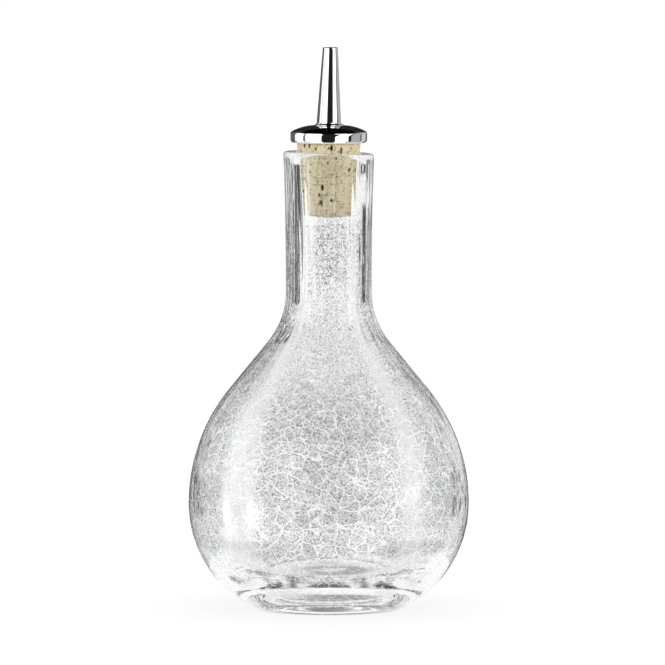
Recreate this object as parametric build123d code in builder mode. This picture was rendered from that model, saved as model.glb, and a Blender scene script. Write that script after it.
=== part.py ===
"""Crackled glass bitters bottle with a cork stopper and a chromed dasher top.

The bottle stands on +Z with its origin at the centre of the foot. Every piece
is round about the Z axis. Lengths are millimetres, angles are degrees.
"""

import os
from math import atan2, cos, degrees, radians, sin

from build123d import *

# Glass bottle, outside, from the foot up to the lip
foot_radius = 23.8
foot_land = 2.2
punt_height = 3.2
belly_radius = 44.1
belly_height = 32.8
crown_radius = 57.2
shoulder_angle = 39.3
root_radius = 25.0
mouth_height = 143.2
lip_flare = 0.8
lip_round = 0.8
foot_round = 1.5

# Glass bottle, inside
belly_wall = 3.0
neck_wall = 4.0
floor_thickness = 8.0
floor_radius = 16.0
floor_crown = 1.0
inner_root_radius = 22.0

# Cork stopper, and the tapered seat that it holds in
cork_top_radius = 10.1
cork_bottom_radius = 7.05
cork_length = 22.8
cork_proud = 3.0
cork_bevel = 0.4
seat_depth = 3.0
cork_clearance = 0.25

# Stem tube, which runs down through the cork
stem_radius = 3.0
stem_wall = 0.6
stem_socket_depth = 2.6
stem_reach = 0.5
stem_clearance = 0.05
stem_bevel = 0.15

# Dash restrictor in the lower end of the stem
restrictor_length = 5.0
metering_radius = 0.9
funnel_depth = 1.2
funnel_rim = 0.4

# Chromed cap, a domed flange on top of the cork
cap_radius = 12.0
cap_rim_height = 3.3
cap_dome_height = 2.1
cap_under_round = 1.0
cap_edge_round = 0.5

# Pouring spout, pressed into the cap
spout_length = 24.4
spout_foot_radius = 4.4
spout_foot_thickness = 0.3
spout_base_radius = 3.8
spout_tip_radius = 2.36
spout_tip_wall = 0.55
spout_tip_round = 0.2

# Heights and radii where one piece meets the next
cork_top = mouth_height + cork_proud
cork_bottom = cork_top - cork_length
cork_taper = (cork_top_radius - cork_bottom_radius) / cork_length
seat_top_radius = cork_top_radius - cork_taper * cork_proud + cork_clearance
bore_radius = seat_top_radius - cork_taper * seat_depth
neck_radius = bore_radius + neck_wall
lip_radius = neck_radius + lip_flare
stem_bore_radius = stem_radius - stem_wall
stem_top = cork_top + stem_socket_depth
stem_bottom = cork_bottom - stem_reach
cap_top = cork_top + cap_rim_height + cap_dome_height
spout_tip = cap_top + spout_length


def glass_side(foot, belly, crown, root, neck):
    """Draw one side of the glass wall from the foot up to the neck.

    The bowl arc rises from the foot and is upright at the belly, the widest
    point. The crown arc, the straight shoulder and the root arc follow it with
    no corner, and the root arc ends upright at the neck's radius. foot and
    belly are (radius, height) pairs. Returns the top of the root arc.
    """
    inset = belly[0] - foot[0]
    rise = belly[1] - foot[1]
    bowl = (inset**2 + rise**2) / (2 * inset)
    foot_angle = degrees(atan2(-rise, bowl - inset))
    CenterArc((belly[0] - bowl, belly[1]), bowl, foot_angle, -foot_angle)

    across = cos(radians(shoulder_angle))
    along = sin(radians(shoulder_angle))
    CenterArc((belly[0] - crown, belly[1]), crown, 0, shoulder_angle)
    crown_end = (belly[0] - crown + crown * across, belly[1] + crown * along)
    slope = (crown_end[0] - root + root * across - neck) / along
    root_start = (crown_end[0] - slope * along, crown_end[1] + slope * across)
    Line(crown_end, root_start)
    root_centre = (root_start[0] + root * across, root_start[1] + root * along)
    CenterArc(root_centre, root, shoulder_angle + 180, -shoulder_angle)
    return (neck, root_centre[1])


os.makedirs("parts", exist_ok=True)

# Glass bottle: one blown wall with a thick floor, a pushed-up underside and a flared lip
with BuildPart() as glass_bottle:
    with BuildSketch(Plane.XZ) as glass_profile:
        with BuildLine() as glass_outline:
            belly_edge = (belly_radius, belly_height)
            outer_neck = glass_side((foot_radius, 0), belly_edge, crown_radius, root_radius, neck_radius)
            TangentArc(outer_neck, (lip_radius, mouth_height), tangent=(0, 1))
            Line((lip_radius, mouth_height), (seat_top_radius, mouth_height))
            Line((seat_top_radius, mouth_height), (bore_radius, mouth_height - seat_depth))
            inner_neck = glass_side(
                (floor_radius, floor_thickness),
                (belly_radius - belly_wall, belly_height),
                crown_radius - belly_wall,
                inner_root_radius,
                bore_radius,
            )
            Line((bore_radius, mouth_height - seat_depth), inner_neck)
            floor_centre = (0, floor_thickness + floor_crown)
            TangentArc(floor_centre, (floor_radius, floor_thickness), tangent=(1, 0))
            Line(floor_centre, (0, punt_height))
            punt_rim = (foot_radius - foot_land, 0)
            TangentArc((0, punt_height), punt_rim, tangent=(1, 0))
            Line(punt_rim, (foot_radius, 0))
        make_face()
    revolve(axis=Axis.Z)
    fillet(glass_bottle.edges().group_by(Axis.Z)[-1], radius=lip_round)
    fillet(glass_bottle.edges().group_by(Axis.Z)[0], radius=foot_round)

glass_bottle.part.label = "glass_bottle"
export_step(glass_bottle.part, "parts/glass_bottle.step")

# Cork stopper: a tapered plug, bored for the stem
with BuildPart() as cork_stopper:
    with BuildSketch(Plane.XZ) as cork_profile:
        with BuildLine() as cork_outline:
            Polyline(
                (stem_radius + stem_clearance, cork_bottom),
                (cork_bottom_radius, cork_bottom),
                (cork_top_radius, cork_top),
                (stem_radius + stem_clearance, cork_top),
                close=True,
            )
        make_face()
    revolve(axis=Axis.Z)
    cork_rims = cork_stopper.edges().filter_by(GeomType.CIRCLE).filter_by(
        lambda rim: rim.radius > stem_radius + stem_clearance + cork_bevel
    )
    chamfer(cork_rims, length=cork_bevel)

cork_stopper.part.label = "cork_stopper"
export_step(cork_stopper.part, "parts/cork_stopper.step")

# Stem tube: plain tube, bevelled at both ends
with BuildPart() as stem_tube:
    with BuildSketch(Plane.XY.offset(stem_bottom)) as stem_section:
        Circle(stem_radius)
        Circle(stem_bore_radius, mode=Mode.SUBTRACT)
    extrude(amount=stem_top - stem_bottom)
    outer_rims = stem_tube.edges().filter_by(GeomType.CIRCLE).group_by(SortBy.RADIUS)[-1]
    chamfer(outer_rims, length=stem_bevel)

stem_tube.part.label = "stem_tube"
export_step(stem_tube.part, "parts/stem_tube.step")

# Dash restrictor: a plug with a fine metering hole that opens to a funnel at each end
with BuildPart() as dash_restrictor:
    with BuildSketch(Plane.XZ) as restrictor_profile:
        with BuildLine() as restrictor_outline:
            restrictor_top = stem_bottom + restrictor_length
            funnel_mouth = stem_bore_radius - funnel_rim
            Polyline(
                (stem_bore_radius, stem_bottom),
                (stem_bore_radius, restrictor_top),
                (funnel_mouth, restrictor_top),
                (metering_radius, restrictor_top - funnel_depth),
                (metering_radius, stem_bottom + funnel_depth),
                (funnel_mouth, stem_bottom),
                close=True,
            )
        make_face()
    revolve(axis=Axis.Z)

dash_restrictor.part.label = "dash_restrictor"
export_step(dash_restrictor.part, "parts/dash_restrictor.step")

# Dasher cap: an upright rim under a shallow dome, with a flat seat for the spout's foot
with BuildPart() as dasher_cap:
    with BuildSketch(Plane.XZ) as cap_profile:
        with BuildLine() as cap_outline:
            rim_top = cork_top + cap_rim_height
            Line((stem_radius, cork_top), (cap_radius, cork_top))
            Line((cap_radius, cork_top), (cap_radius, rim_top))
            TangentArc((spout_foot_radius, cap_top), (cap_radius, rim_top), tangent=(1, 0))
            Line((spout_foot_radius, cap_top), (stem_radius, cap_top))
            Line((stem_radius, cap_top), (stem_radius, cork_top))
        make_face()
        fillet(cap_profile.vertices().group_by(Axis.X)[-1].sort_by(Axis.Y)[0], radius=cap_under_round)
        fillet(cap_profile.vertices().group_by(Axis.X)[-1].sort_by(Axis.Y)[-1], radius=cap_edge_round)
    revolve(axis=Axis.Z)

dasher_cap.part.label = "dasher_cap"
export_step(dasher_cap.part, "parts/dasher_cap.step")

# Pouring spout: a tapered tube on a thin foot, with a spigot that is pressed into the cap
with BuildPart() as pouring_spout:
    with BuildSketch(Plane.XZ) as spout_profile:
        with BuildLine() as spout_outline:
            spout_flare = spout_foot_radius - spout_base_radius
            foot_top = cap_top + spout_foot_thickness
            flare_top = foot_top + spout_flare
            Line((stem_bore_radius, stem_top), (stem_radius, stem_top))
            Line((stem_radius, stem_top), (stem_radius, cap_top))
            Line((stem_radius, cap_top), (spout_foot_radius, cap_top))
            Line((spout_foot_radius, cap_top), (spout_foot_radius, foot_top))
            CenterArc((spout_foot_radius, flare_top), spout_flare, 180, 90)
            Line((spout_base_radius, flare_top), (spout_tip_radius, spout_tip))
            Line((spout_tip_radius, spout_tip), (spout_tip_radius - spout_tip_wall, spout_tip))
            Line((spout_tip_radius - spout_tip_wall, spout_tip), (stem_bore_radius, stem_top))
        make_face()
    revolve(axis=Axis.Z)
    fillet(pouring_spout.edges().group_by(Axis.Z)[-1], radius=spout_tip_round)

pouring_spout.part.label = "pouring_spout"
export_step(pouring_spout.part, "parts/pouring_spout.step")
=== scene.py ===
import math

import bpy
import numpy as np
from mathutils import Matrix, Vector


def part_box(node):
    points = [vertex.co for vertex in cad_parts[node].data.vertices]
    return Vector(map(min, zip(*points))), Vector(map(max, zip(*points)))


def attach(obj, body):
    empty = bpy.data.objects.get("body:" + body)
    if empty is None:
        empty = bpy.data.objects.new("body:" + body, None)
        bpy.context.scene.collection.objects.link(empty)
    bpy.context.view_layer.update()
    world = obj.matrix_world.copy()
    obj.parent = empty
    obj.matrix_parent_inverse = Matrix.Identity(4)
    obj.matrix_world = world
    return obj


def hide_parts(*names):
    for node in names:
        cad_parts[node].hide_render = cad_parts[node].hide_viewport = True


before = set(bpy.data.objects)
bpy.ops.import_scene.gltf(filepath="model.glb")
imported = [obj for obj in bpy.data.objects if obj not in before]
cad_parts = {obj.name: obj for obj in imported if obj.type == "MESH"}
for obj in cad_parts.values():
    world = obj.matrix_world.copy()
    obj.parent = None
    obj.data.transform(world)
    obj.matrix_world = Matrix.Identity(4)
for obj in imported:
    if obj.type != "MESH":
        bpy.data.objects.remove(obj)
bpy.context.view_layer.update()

# The glass bottle
# One gather of clear glass, blown into a round belly under a straight neck. It was dipped in water while hot,
# which crackled its skin, less at the foot and at the lip, and then fire polished. The crackle is greyed with
# painted shade; in some upright bands both are weaker, which paints lighter highlight bands. The bore sits a
# little to the right in the neck, so the wall is thicker on the left.
MM = 0.001
FOOT_RADIUS = 23.8 * MM
FOOT_LAND = 2.2 * MM
PUNT_HEIGHT = 3.2 * MM
BELLY_RADIUS = 44.1 * MM
BELLY_HEIGHT = 32.8 * MM
BELLY_WALL = 3.0 * MM
CROWN_RADIUS = 57.2 * MM
SHOULDER_ANGLE = math.radians(39.3)
ROOT_RADIUS = 25.0 * MM
INNER_ROOT_RADIUS = 22.0 * MM
NECK_RADIUS = 13.54 * MM
BORE_RADIUS = 9.55 * MM
SEAT_TOP_RADIUS = 9.95 * MM
SEAT_DEPTH = 3.0 * MM
LIP_FLARE = 0.8 * MM
LIP_ROUND = 0.8 * MM
FLOOR_THICKNESS = 8.0 * MM
FLOOR_RADIUS = 16.0 * MM
FLOOR_CROWN = 1.0 * MM
MOUTH_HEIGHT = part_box("glass_bottle")[1][2]
ARC_STEPS = 60
FLOOR_STEPS = 24
LIP_STEPS = 8
ROUND_STEPS = 360
OUTSIDE_ROWS = 188
INSIDE_ROWS = 78


def arc(centre, radius, start, stop, steps):
    """Points on a circle: centre plus radius times the cosine and sine of evenly spaced angles."""
    angle = np.linspace(start, stop, steps)
    return np.stack([centre[0] + radius * np.cos(angle), centre[1] + radius * np.sin(angle)], 1)


def glass_side(foot, belly, crown, root, neck):
    """One side of the wall as (radius, height) points: the bowl arc from the foot to the belly, the crown
    arc, the straight shoulder tangent to it, and the root arc that ends upright at the neck's radius."""
    inset, rise = belly[0] - foot[0], belly[1] - foot[1]
    bowl = (inset**2 + rise**2) / (2 * inset)
    low = arc((belly[0] - bowl, belly[1]), bowl, math.atan2(-rise, bowl - inset), 0, ARC_STEPS)
    high = arc((belly[0] - crown, belly[1]), crown, 0, SHOULDER_ANGLE, ARC_STEPS)
    across, along = math.cos(SHOULDER_ANGLE), math.sin(SHOULDER_ANGLE)
    slope = (high[-1, 0] - root + root * across - neck) / along
    start = high[-1] + slope * np.array([-along, across])
    centre = start + root * np.array([across, along])
    upper = arc(centre, root, SHOULDER_ANGLE + math.pi, math.pi, ARC_STEPS)
    return np.concatenate([low, high[1:], upper])


def evenly(points, steps):
    """The same line with its points spaced evenly along its length."""
    length = np.concatenate([[0], np.cumsum(np.linalg.norm(np.diff(points, axis=0), axis=1))])
    at = np.linspace(0, length[-1], steps)
    return np.stack([np.interp(at, length, points[:, k]) for k in range(2)], 1)


lip_foot = MOUTH_HEIGHT - LIP_ROUND
belly_edge = (BELLY_RADIUS, BELLY_HEIGHT)
outer = glass_side((FOOT_RADIUS, 0), belly_edge, CROWN_RADIUS, ROOT_RADIUS, NECK_RADIUS)
rise = np.linspace(0, 1, ARC_STEPS)[1:]
neck_foot = outer[-1, 1]
neck = np.stack([NECK_RADIUS + LIP_FLARE * rise**2, neck_foot + (lip_foot - neck_foot) * rise], 1)
lip_out = arc((NECK_RADIUS + LIP_FLARE - LIP_ROUND, lip_foot), LIP_ROUND, 0, math.pi / 2, LIP_STEPS)
lip_in = arc((SEAT_TOP_RADIUS + LIP_ROUND, lip_foot), LIP_ROUND, math.pi / 2, math.pi, LIP_STEPS)
lip_split = (LIP_STEPS - 1) // 2
inner_belly_edge = (BELLY_RADIUS - BELLY_WALL, BELLY_HEIGHT)
inner_crown = CROWN_RADIUS - BELLY_WALL
floor_edge = (FLOOR_RADIUS, FLOOR_THICKNESS)
inner = glass_side(floor_edge, inner_belly_edge, inner_crown, INNER_ROOT_RADIUS, BORE_RADIUS)
seat = np.array([[BORE_RADIUS, MOUTH_HEIGHT - SEAT_DEPTH]])
across = np.linspace(0, 1, FLOOR_STEPS)
floor = np.stack([FLOOR_RADIUS * across, FLOOR_THICKNESS + FLOOR_CROWN * (1 - across**2)], 1)
punt = np.stack([(FOOT_RADIUS - FOOT_LAND) * across, PUNT_HEIGHT * (1 - across**2)], 1)
outside = evenly(np.concatenate([punt, outer, neck, lip_out, lip_in[: lip_split + 1]]), OUTSIDE_ROWS)
inside = evenly(np.concatenate([lip_in[lip_split:], seat, inner[::-1], floor[::-1]]), INSIDE_ROWS)

# The skin and the bore wave a little, and the lip slants. A pair of heights is the one from which a feature sets
# in, or fades, and the one at which it has done so.
WAVE_DRIFT = 60
WAVE_PHASES = 6.28
SKIN_SWAY = 0.12 * MM
SKIN_SWAY_RISE = (2 * MM, 16 * MM)
STREAK_DEPTH = 0.2 * MM
STREAK_DRIFT = 3
STREAK_RISE = (68 * MM, 92 * MM)
STREAK_FALL = (140 * MM, 142.5 * MM)
DIMPLE_DEPTH = 0.12 * MM
DIMPLE_DRIFT = 9
DIMPLE_RISE = (2 * MM, 9 * MM)
BORE_SWAY = 0.3 * MM
BORE_SWAY_DRIFT = 0.3
BORE_SWAY_RISE = (8.5 * MM, 16 * MM)
BORE_SWAY_FALL = (70 * MM, 100 * MM)
BORE_SHIFT = 0.6 * MM
BORE_SHIFT_RISE = (60 * MM, 95 * MM)
BORE_SHIFT_FALL = (126 * MM, 138 * MM)
BORE_FALL_SHARE = 0.8
LIP_SLANT = 0.033
LIP_SLANT_RISE = (118 * MM, MOUTH_HEIGHT)


def smooth(low, high, value):
    """Smoothstep: 0 below low, 1 above high, and 3t squared less 2t cubed between them."""
    t = np.clip((value - low) / (high - low), 0, 1)
    return t * t * (3 - 2 * t)


def waves(angle, height, count, lobes, seed):
    """A slow wave, from -1 to 1: the mean of count cosines of whole lobes round the bottle that drift with
    the height."""
    draw = np.random.default_rng(seed)
    total = 0
    for _ in range(count):
        lobed = draw.integers(*lobes) * angle
        drifted = draw.uniform(-WAVE_DRIFT, WAVE_DRIFT) * height
        total = total + np.cos(lobed + drifted + draw.uniform(0, WAVE_PHASES))
    return total / count


def skin_sway(angle, height):
    """How far the outside stands in from its true circle: a slow wave that dies out towards the foot."""
    wave = waves(angle, height, count=6, lobes=(2, 8), seed=4)
    return SKIN_SWAY * (wave - 1) * smooth(*SKIN_SWAY_RISE, height)


# The crazing is a web of lines. It is measured in radians: round the bottle by angle, and upwards by length over
# radius, so that its cells are as wide as they are tall on the belly and drawn out on the neck by the blowing.
WEB_CELLS = 62
WEB_SIDE = 2 * math.pi / WEB_CELLS / math.sqrt(3)
WEB_ROW = 1.5 * WEB_SIDE
WEB_ZIGZAG = 0.25
WEB_NODE_SHIFT = 0.4
WEB_SWAY = 1.2
WEB_SWAY_DRIFT = 0.04
WEB_MISSING = 0.1
WEB_REACH = 0.12
NECK_STRETCH = 1.9
STRETCH_RISE = (72 * MM, 96 * MM)
CRAZE_LOW = 3.0 * MM
SIDE_LOW = 1.0 * MM


def craze_web(rows, seed):
    """A honeycomb closed round the bottle, its nodes shifted at random. Every node is joined to the next in its
    row, and every second one to the row above. Returns the nodes as (angle, rise) and the pairs joined."""
    draw = np.random.default_rng(seed)
    row, column = np.meshgrid(np.arange(rows), np.arange(2 * WEB_CELLS), indexing="ij")
    upper = (row + column) % 2 == 0
    shift = WEB_SIDE * draw.uniform(-WEB_NODE_SHIFT, WEB_NODE_SHIFT, (2, *row.shape))
    angle = column * math.pi / WEB_CELLS + shift[0]
    rise = WEB_ROW * row + WEB_SIDE * np.where(upper, WEB_ZIGZAG, -WEB_ZIGZAG) + shift[1]
    sway = waves(angle, WEB_SWAY_DRIFT * rise, count=5, lobes=(4, 13), seed=seed + 1)
    rise = rise + WEB_SWAY * WEB_SIDE * sway
    number = row * 2 * WEB_CELLS + column
    beside = np.stack([number, np.roll(number, -1, 1)], 2).reshape(-1, 2)
    above = np.stack([number[:-1][upper[:-1]], number[1:][upper[:-1]]], 1)
    pairs = np.concatenate([beside, above])
    kept = draw.uniform(size=len(pairs)) > WEB_MISSING
    return np.stack([angle.ravel(), rise.ravel()], 1), pairs[kept]


def half_turns(angle):
    """The same angle, brought to within half a turn of 0."""
    return (angle + math.pi) % (2 * math.pi) - math.pi


def web_distance(angle, rise, nodes, pairs, reach):
    """The distance in radians from each (angle, rise) point to the nearest line of the web, found from the lines
    whose middle is within reach, in batches of rise."""
    start = nodes[pairs[:, 0]]
    run = nodes[pairs[:, 1]] - start
    run[:, 0] = half_turns(run[:, 0])
    middle = start + run / 2
    nearest = np.full(len(angle), reach)
    for level in np.unique(rise):
        here = np.flatnonzero(rise == level)
        close = np.abs(middle[:, 1] - level) < reach
        if not close.any():
            continue
        off = half_turns(angle[here][:, None] - start[close][None, :, 0])
        up = level - start[close][None, :, 1]
        part = np.clip((off * run[close, 0] + up * run[close, 1]) / (run[close] ** 2).sum(1), 0, 1)
        gap = np.hypot(off - part * run[close, 0], up - part * run[close, 1])
        nearest[here] = np.minimum(nearest[here], gap.min(1))
    return nearest


step = np.linalg.norm(np.diff(outside, axis=0), axis=1)
stretch = 1 + (NECK_STRETCH - 1) * smooth(*STRETCH_RISE, outside[1:, 1])
climb = np.concatenate([[0], np.cumsum(step / (outside[1:, 0] * stretch))])
on_side = (outside[:, 0] > FOOT_RADIUS) & (outside[:, 1] > SIDE_LOW)
climb -= np.interp(CRAZE_LOW, outside[on_side, 1], climb[on_side])
web_rows = int(climb[-1] / WEB_ROW) + 2
web_nodes, web_pairs = craze_web(web_rows, seed=7)

turn = np.linspace(0, 2 * np.pi, ROUND_STEPS, endpoint=False)
slope = np.gradient(outside, axis=0)
slope /= np.linalg.norm(slope, axis=1, keepdims=True)
outward = np.stack([slope[:, 1], -slope[:, 0]], 1)
ring_angle = np.repeat(turn[None], OUTSIDE_ROWS - 1, 0).ravel()
ring_rise = np.repeat(climb[1:], ROUND_STEPS)
ring_radius = np.repeat(outside[1:, 0], ROUND_STEPS)
ring_height = np.repeat(outside[1:, 1], ROUND_STEPS)

# How strong the crazing and its painted shade are, from 0 to 1. It sets in above an uneven line over the foot,
# is weak by the mouth and at the sides of the neck's foot, and shows again in the middle of the punt. The clear
# bands are painted highlights, where the grooves and the painted shade are weaker. Each is given as the share it
# lacks, half its width, and its place in degrees from the front at each of BAND_HEIGHTS.
FOOT_CRAZE = 0.2
FOOT_CRAZE_RISE = (1 * MM, 3 * MM)
DENSE_FROM = 19.0 * MM
DENSE_EDGE = 0.03
DENSE_EDGE_SWAY = 0.08
LIP_ROWS = 5
MOUTH_CRAZE = 0.25
MOUTH_RISE = (118 * MM, 126 * MM)
NECK_FOOT_CLEAR = 0.38
NECK_FOOT_RISE = (64 * MM, 76 * MM)
NECK_FOOT_FALL = (98 * MM, 108 * MM)
NECK_SIDES = (0.65, 0.85)
BAND_HEIGHTS = (30 * MM, 60 * MM, 86 * MM, 100 * MM, 140 * MM)
BAND_EDGE = 4
PAINTED_HIGHLIGHT_BANDS = [(0.75, 9, (-41, -43, -45, -31, -26)), (0.6, 6, (37, 38, 39, 34, 29)),
               (0.7, 12, (145, 143, 141, 140, 138)), (0.6, 10, (-137, -139, -141, -142, -144)),
               (0.25, 20, (78, 78, 78, 78, 78)), (0.15, 20, (-80, -80, -80, -80, -80))]
PUNT_CRAZE_AND_SHADE = 0.8
PUNT_TOP = 5 * MM
PUNT_FADE = (17 * MM, 21 * MM)
PUNT_MIDDLE = 3 * MM
PUNT_SIDES = (10 * MM, 18 * MM)
GROOVE_DEPTH = 0.06 * MM
GROOVE_WIDTH = 0.017

below_lip = ring_rise < climb[-LIP_ROWS]
dense_from = np.interp(DENSE_FROM, outside[on_side, 1], climb[on_side])
over_edge = ring_rise - dense_from + DENSE_EDGE_SWAY * waves(ring_angle, 0, count=5, lobes=(3, 15), seed=5)
craze_and_shade = FOOT_CRAZE + (1 - FOOT_CRAZE) * smooth(-DENSE_EDGE, DENSE_EDGE, over_edge)
craze_and_shade *= below_lip * smooth(*FOOT_CRAZE_RISE, ring_height)
craze_and_shade *= 1 - (1 - MOUTH_CRAZE) * smooth(*MOUTH_RISE, ring_height)
round_neck_foot = smooth(*NECK_FOOT_RISE, ring_height) * (1 - smooth(*NECK_FOOT_FALL, ring_height))
craze_and_shade *= 1 - NECK_FOOT_CLEAR * round_neck_foot * smooth(*NECK_SIDES, np.abs(np.sin(ring_angle)))
# Upright bands of weaker grooves and weaker painted shade, which read as painted highlights.
for share, half, middles in PAINTED_HIGHLIGHT_BANDS:
    off = np.degrees(ring_angle) + 90 - np.interp(ring_height, BAND_HEIGHTS, middles)
    off = np.abs((off + 180) % 360 - 180)
    craze_and_shade *= 1 - share * (1 - smooth(half - BAND_EDGE, half + BAND_EDGE, off))
# The middle of the punt gets crazing and its painted shade, which darkens the view through the foot.
beneath = (1 - smooth(*PUNT_FADE, ring_radius)) * (ring_height < PUNT_TOP)
off_middle = np.abs(ring_radius * np.cos(ring_angle) - PUNT_MIDDLE)
craze_and_shade += PUNT_CRAZE_AND_SHADE * beneath * (1 - smooth(*PUNT_SIDES, off_middle))

gap = web_distance(ring_angle, ring_rise, web_nodes, web_pairs, WEB_REACH)
groove = -GROOVE_DEPTH * (ring_radius / BELLY_RADIUS) * craze_and_shade * (1 - smooth(0, GROOVE_WIDTH, gap))
streaks = waves(ring_angle, STREAK_DRIFT * ring_height, count=14, lobes=(12, 52), seed=12)
streaks *= STREAK_DEPTH * smooth(*STREAK_RISE, ring_height) * (1 - smooth(*STREAK_FALL, ring_height))
dimples = waves(ring_angle, DIMPLE_DRIFT * ring_height, count=16, lobes=(8, 44), seed=13)
dimples *= DIMPLE_DEPTH * smooth(*DIMPLE_RISE, ring_height) * (ring_radius / BELLY_RADIUS)
shift = skin_sway(ring_angle, ring_height) + groove + streaks + dimples
outer_radius = ring_radius + shift * np.repeat(outward[1:, 0], ROUND_STEPS)
outer_height = ring_height + shift * np.repeat(outward[1:, 1], ROUND_STEPS)

bore_angle = np.repeat(turn[None], INSIDE_ROWS - 2, 0).ravel()
bore_radius = np.repeat(inside[1:-1, 0], ROUND_STEPS)
bore_height = np.repeat(inside[1:-1, 1], ROUND_STEPS)
drift = BORE_SWAY * waves(bore_angle, BORE_SWAY_DRIFT * bore_height, count=7, lobes=(3, 14), seed=9)
drift *= smooth(*BORE_SWAY_RISE, bore_height) * (1 - BORE_FALL_SHARE * smooth(*BORE_SWAY_FALL, bore_height))
bore_radius = bore_radius + drift
sideways = BORE_SHIFT * smooth(*BORE_SHIFT_RISE, bore_height)
sideways *= 1 - BORE_FALL_SHARE * smooth(*BORE_SHIFT_FALL, bore_height)


def put_mesh(name, points, faces):
    """A smooth-shaded piece made of these points and faces."""
    mesh = bpy.data.meshes.new(name)
    mesh.from_pydata(points.tolist(), [], faces)
    mesh.shade_smooth()
    piece = bpy.data.objects.new(name, mesh)
    bpy.context.scene.collection.objects.link(piece)
    return piece


def grid_faces(rows, columns, looped):
    """Four-sided faces between neighbouring rows of a grid that is closed round its columns, and round its rows
    too if looped."""
    row = np.arange(rows if looped else rows - 1)[:, None]
    column = np.arange(columns)[None]
    above = (row + 1) % rows * columns
    after = (column + 1) % columns
    row = row * columns
    return np.stack([row + column, row + after, above + after, above + column], 2).reshape(-1, 4)


radius = np.concatenate([outer_radius, bore_radius])
height = np.concatenate([outer_height, bore_height])
angle = np.concatenate([ring_angle, bore_angle])
x = radius * np.cos(angle) + np.concatenate([np.zeros_like(outer_radius), sideways])
y = radius * np.sin(angle)
z = height - LIP_SLANT * x * smooth(*LIP_SLANT_RISE, height)
poles = np.array([[0, 0, outside[0, 1]], [0, 0, inside[-1, 1]]])
points = np.concatenate([np.stack([x, y, z], 1), poles])
rings = len(radius) // ROUND_STEPS
column = np.arange(ROUND_STEPS)
after = np.roll(column, -1)
top = (rings - 1) * ROUND_STEPS
foot_fan = np.stack([np.full(ROUND_STEPS, rings * ROUND_STEPS), after, column], 1)
floor_fan = np.stack([np.full(ROUND_STEPS, rings * ROUND_STEPS + 1), top + column, top + after], 1)
faces = grid_faces(rings, ROUND_STEPS, False).tolist() + foot_fan.tolist() + floor_fan.tolist()
bottle = put_mesh("blown_glass", points, faces)


def put_attribute(piece, label, values):
    """A three-part attribute of the piece's first points, 0 for the rest."""
    whole = np.zeros((len(piece.data.vertices), 3), np.float32)
    whole[: len(values)] = values
    piece.data.attributes.new(label, "FLOAT_VECTOR", "POINT").data.foreach_set("vector", whole.ravel())


# What the glass's material follows: the place on the web, the place in millimetres with the neck drawn out, and
# the strength of the crazing and its painted shade, the width of its lines and how much they show. Only the
# outside has these.
GRAIN_SQUEEZE = 0.3
GRAIN_SQUEEZE_FROM = 74 * MM
POLE_WIDEN = 1.2
POLE_RADII = (14 * MM, 30 * MM)
LINES_FROM = 2 * MM
LINES_FALL = (66 * MM, 88 * MM)
LINES_FALL_SHARE = 0.75

web_place = np.stack([np.cos(ring_angle), np.sin(ring_angle), ring_rise], 1)
put_attribute(bottle, "craze_place", web_place)
squeezed = ring_height - GRAIN_SQUEEZE * np.maximum(ring_height - GRAIN_SQUEEZE_FROM, 0)
grain_place = np.stack([ring_radius * np.cos(ring_angle), ring_radius * np.sin(ring_angle), squeezed], 1) / MM
put_attribute(bottle, "grain_place", grain_place)
width = 1 + POLE_WIDEN * (1 - smooth(*POLE_RADII, ring_radius))
width *= below_lip & (ring_height > LINES_FROM)
lined = 1 - LINES_FALL_SHARE * smooth(*LINES_FALL, ring_height)
put_attribute(bottle, "craze_and_shade_amount", np.stack([craze_and_shade, width, lined], 1))


def add(tree, kind, inputs, **settings):
    """A shader node of this kind. Each input gets a number, a colour, or a wire from another node's output."""
    made = tree.nodes.new(kind if kind.startswith("Node") else "ShaderNode" + kind)
    for key, value in settings.items():
        setattr(made, key, value)
    for socket, value in inputs.items():
        if isinstance(value, bpy.types.NodeSocket):
            tree.links.new(value, made.inputs[socket])
        else:
            made.inputs[socket].default_value = value
    return made


def reckon(tree, operation, first, second=0.0, third=0.0):
    """The output of one Math node."""
    return add(tree, "Math", {0: first, 1: second, 2: third}, operation=operation).outputs[0]


def product(tree, first, *others):
    """The product of these values."""
    for other in others:
        first = reckon(tree, "MULTIPLY", first, other)
    return first


def less(tree, value, share=1.0):
    """1 less this share of value."""
    return reckon(tree, "MULTIPLY_ADD", value, -share, 1.0)


def spread(tree, value, low, high, at_low=0.0, at_high=1.0):
    """value mapped from low..high to at_low..at_high by a smooth step, and held beyond them."""
    limits = {"Value": value, "From Min": low, "From Max": high, "To Min": at_low, "To Max": at_high}
    return add(tree, "MapRange", limits, interpolation_type="SMOOTHSTEP").outputs["Result"]


def blend_colour(tree, factor, first, second):
    """A colour that goes from first to second with factor. Each is a colour or a wire."""
    return add(tree, "Mix", {0: factor, 6: first, 7: second}, data_type="RGBA").outputs[2]


def noise(tree, place, scale, detail, output="Fac"):
    """Soft noise at place, about scale swirls to the unit, with detail more layers of half the size each."""
    return add(tree, "TexNoise", {"Vector": place, "Scale": scale, "Detail": detail}).outputs[output]


def drawn_along(tree, place, scale):
    """place scaled along each axis, which draws a pattern out where the scale is low."""
    return add(tree, "Mapping", {"Vector": place, "Scale": scale}).outputs[0]


def parts_of(tree, vector):
    """The X, Y and Z of a vector."""
    return add(tree, "SeparateXYZ", {0: vector}).outputs


def attribute(tree, label):
    """A three-part attribute of the piece."""
    return add(tree, "Attribute", {}, attribute_name=label).outputs["Vector"]


def object_place(tree):
    """The piece's own coordinates, in metres."""
    return add(tree, "TexCoord", {}).outputs["Object"]


def set_relief(tree, sockets, height, strength, distance):
    """Height as bumps on the surface, where a height of 1 stands out by distance."""
    bump = add(tree, "Bump", {"Height": height, "Strength": strength, "Distance": distance})
    tree.links.new(bump.outputs["Normal"], sockets["Normal"])


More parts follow.
